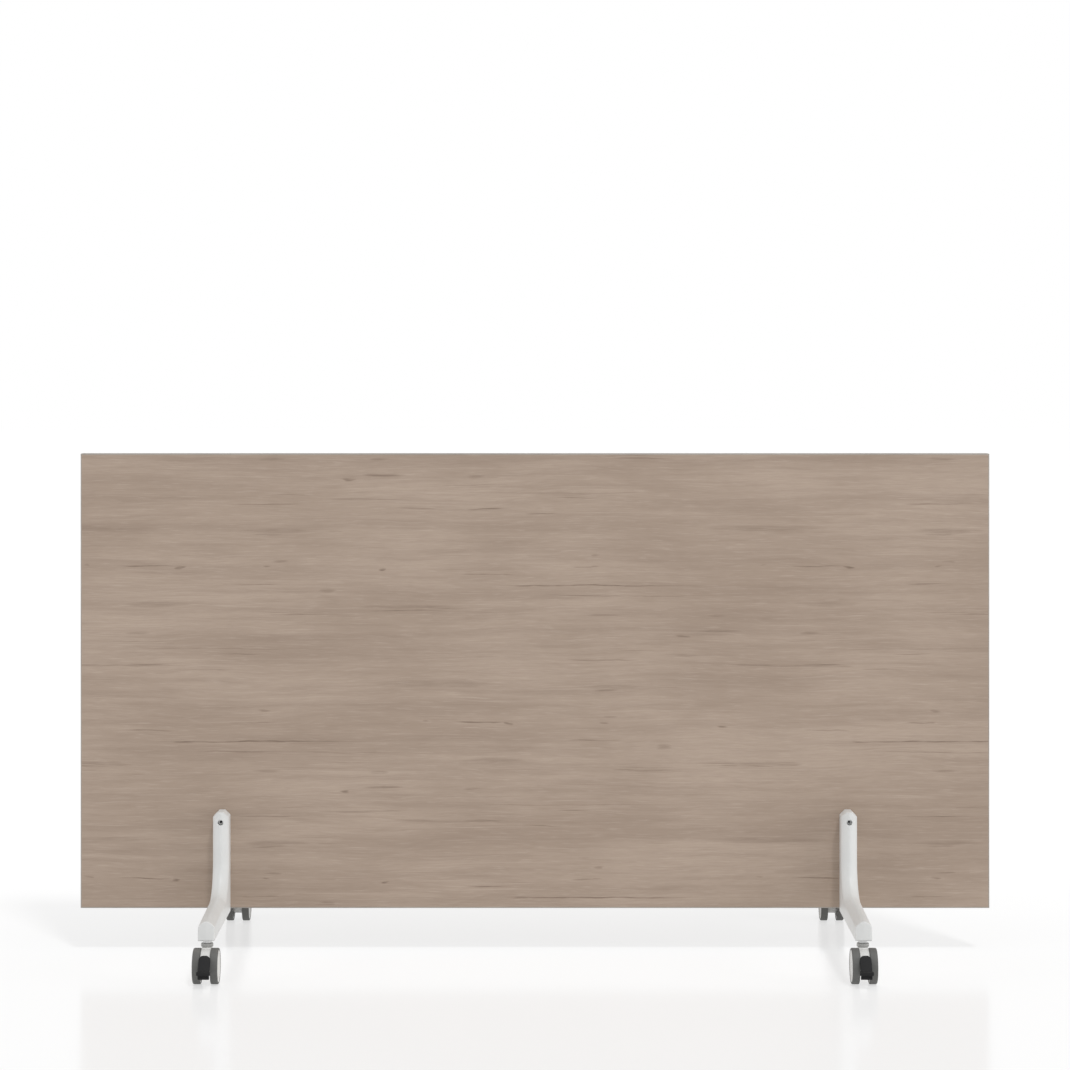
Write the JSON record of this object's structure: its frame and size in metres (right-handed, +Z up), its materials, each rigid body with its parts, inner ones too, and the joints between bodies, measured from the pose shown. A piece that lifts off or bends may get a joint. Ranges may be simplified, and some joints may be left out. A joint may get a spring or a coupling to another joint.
{
  "type": "room divider",
  "caption": "Low mobile room divider: a wood-faced panel on cast L-shaped feet with twin-wheel swivel castors and foot brakes.",
  "frame": {"origin": "on the floor under the middle of the panel", "axes": "+X along the panel to the viewer's right, +Y away from the viewer through the panel, +Z up"},
  "size_m": [1.6, 0.656, 0.877],
  "materials": {
    "wood_laminate": "matt wood-grain laminate, horizontal grain",
    "edge_band": "matt edge banding in the wood's colour",
    "chipboard": "raw pressed board",
    "white_paint": "satin white powder coat on a casting",
    "white_plastic": "satin white moulded plastic",
    "grey_plastic": "matt grey moulded plastic",
    "grey_tyre": "soft grey tread",
    "black_plastic": "matt black moulded plastic",
    "zinc_steel": "zinc-plated steel"
  },
  "bodies": {
    "divider": {"panel_core": "chipboard", "front_laminate": "wood_laminate", "rear_laminate": "wood_laminate", "edge_top": "edge_band", "edge_bottom": "edge_band", "edge_left": "edge_band", "edge_right": "edge_band", "left_tie_plate": "zinc_steel", "left_plate_screws": "zinc_steel", "left_panel_bolt": "zinc_steel", "left_sleeve_nut": "zinc_steel", "right_tie_plate": "zinc_steel", "right_plate_screws": "zinc_steel", "right_panel_bolt": "zinc_steel", "right_sleeve_nut": "zinc_steel", "front_left_arm": "white_paint", "front_left_stem": "zinc_steel", "front_right_arm": "white_paint", "front_right_stem": "zinc_steel", "rear_left_arm": "white_paint", "rear_left_stem": "zinc_steel", "rear_right_arm": "white_paint", "rear_right_stem": "zinc_steel"},
    "front_left_swivel": {"front_left_swivel_collar": "grey_plastic", "front_left_housing": "white_plastic", "front_left_axle": "zinc_steel", "front_left_pedal_pin": "zinc_steel"},
    "front_left_outer_wheel": {"front_left_outer_tyre": "grey_tyre", "front_left_outer_hub": "white_plastic"},
    "front_left_inner_wheel": {"front_left_inner_tyre": "grey_tyre", "front_left_inner_hub": "white_plastic"},
    "front_left_pedal": {"front_left_brake_pedal": "black_plastic"},
    "front_right_swivel": {"front_right_swivel_collar": "grey_plastic", "front_right_housing": "white_plastic", "front_right_axle": "zinc_steel", "front_right_pedal_pin": "zinc_steel"},
    "front_right_outer_wheel": {"front_right_outer_tyre": "grey_tyre", "front_right_outer_hub": "white_plastic"},
    "front_right_inner_wheel": {"front_right_inner_tyre": "grey_tyre", "front_right_inner_hub": "white_plastic"},
    "front_right_pedal": {"front_right_brake_pedal": "black_plastic"},
    "rear_left_swivel": {"rear_left_swivel_collar": "grey_plastic", "rear_left_housing": "white_plastic", "rear_left_axle": "zinc_steel", "rear_left_pedal_pin": "zinc_steel"},
    "rear_left_outer_wheel": {"rear_left_outer_tyre": "grey_tyre", "rear_left_outer_hub": "white_plastic"},
    "rear_left_inner_wheel": {"rear_left_inner_tyre": "grey_tyre", "rear_left_inner_hub": "white_plastic"},
    "rear_left_pedal": {"rear_left_brake_pedal": "black_plastic"},
    "rear_right_swivel": {"rear_right_swivel_collar": "grey_plastic", "rear_right_housing": "white_plastic", "rear_right_axle": "zinc_steel", "rear_right_pedal_pin": "zinc_steel"},
    "rear_right_outer_wheel": {"rear_right_outer_tyre": "grey_tyre", "rear_right_outer_hub": "white_plastic"},
    "rear_right_inner_wheel": {"rear_right_inner_tyre": "grey_tyre", "rear_right_inner_hub": "white_plastic"},
    "rear_right_pedal": {"rear_right_brake_pedal": "black_plastic"}
  },
  "joints": [
    {"name": "front_left_swivel_turn", "type": "hinge", "parent": "divider", "child": "front_left_swivel", "pos_m": [-0.55, -0.262, 0.06], "axis": [0, 0, 1], "continuous": true},
    {"name": "front_left_outer_roll", "type": "hinge", "parent": "front_left_swivel", "child": "front_left_outer_wheel", "pos_m": [-0.55, -0.276, 0.03], "axis": [1, 0, 0], "continuous": true},
    {"name": "front_left_inner_roll", "type": "hinge", "parent": "front_left_swivel", "child": "front_left_inner_wheel", "pos_m": [-0.55, -0.276, 0.03], "axis": [1, 0, 0], "continuous": true},
    {"name": "front_left_brake_press", "type": "hinge", "parent": "front_left_swivel", "child": "front_left_pedal", "pos_m": [-0.55, -0.288, 0.042], "axis": [1, 0, 0], "range_deg": [0, 12]},
    {"name": "front_right_swivel_turn", "type": "hinge", "parent": "divider", "child": "front_right_swivel", "pos_m": [0.55, -0.262, 0.06], "axis": [0, 0, 1], "continuous": true},
    {"name": "front_right_outer_roll", "type": "hinge", "parent": "front_right_swivel", "child": "front_right_outer_wheel", "pos_m": [0.55, -0.276, 0.03], "axis": [1, 0, 0], "continuous": true},
    {"name": "front_right_inner_roll", "type": "hinge", "parent": "front_right_swivel", "child": "front_right_inner_wheel", "pos_m": [0.55, -0.276, 0.03], "axis": [1, 0, 0], "continuous": true},
    {"name": "front_right_brake_press", "type": "hinge", "parent": "front_right_swivel", "child": "front_right_pedal", "pos_m": [0.55, -0.288, 0.042], "axis": [1, 0, 0], "range_deg": [0, 12]},
    {"name": "rear_left_swivel_turn", "type": "hinge", "parent": "divider", "child": "rear_left_swivel", "pos_m": [-0.55, 0.262, 0.06], "axis": [0, 0, 1], "continuous": true},
    {"name": "rear_left_outer_roll", "type": "hinge", "parent": "rear_left_swivel", "child": "rear_left_outer_wheel", "pos_m": [-0.55, 0.276, 0.03], "axis": [1, 0, 0], "continuous": true},
    {"name": "rear_left_inner_roll", "type": "hinge", "parent": "rear_left_swivel", "child": "rear_left_inner_wheel", "pos_m": [-0.55, 0.276, 0.03], "axis": [1, 0, 0], "continuous": true},
    {"name": "rear_left_brake_press", "type": "hinge", "parent": "rear_left_swivel", "child": "rear_left_pedal", "pos_m": [-0.55, 0.288, 0.042], "axis": [-1, 0, 0], "range_deg": [0, 12]},
    {"name": "rear_right_swivel_turn", "type": "hinge", "parent": "divider", "child": "rear_right_swivel", "pos_m": [0.55, 0.262, 0.06], "axis": [0, 0, 1], "continuous": true},
    {"name": "rear_right_outer_roll", "type": "hinge", "parent": "rear_right_swivel", "child": "rear_right_outer_wheel", "pos_m": [0.55, 0.276, 0.03], "axis": [1, 0, 0], "continuous": true},
    {"name": "rear_right_inner_roll", "type": "hinge", "parent": "rear_right_swivel", "child": "rear_right_inner_wheel", "pos_m": [0.55, 0.276, 0.03], "axis": [1, 0, 0], "continuous": true},
    {"name": "rear_right_brake_press", "type": "hinge", "parent": "rear_right_swivel", "child": "rear_right_pedal", "pos_m": [0.55, 0.288, 0.042], "axis": [-1, 0, 0], "range_deg": [0, 12]}
  ]
}
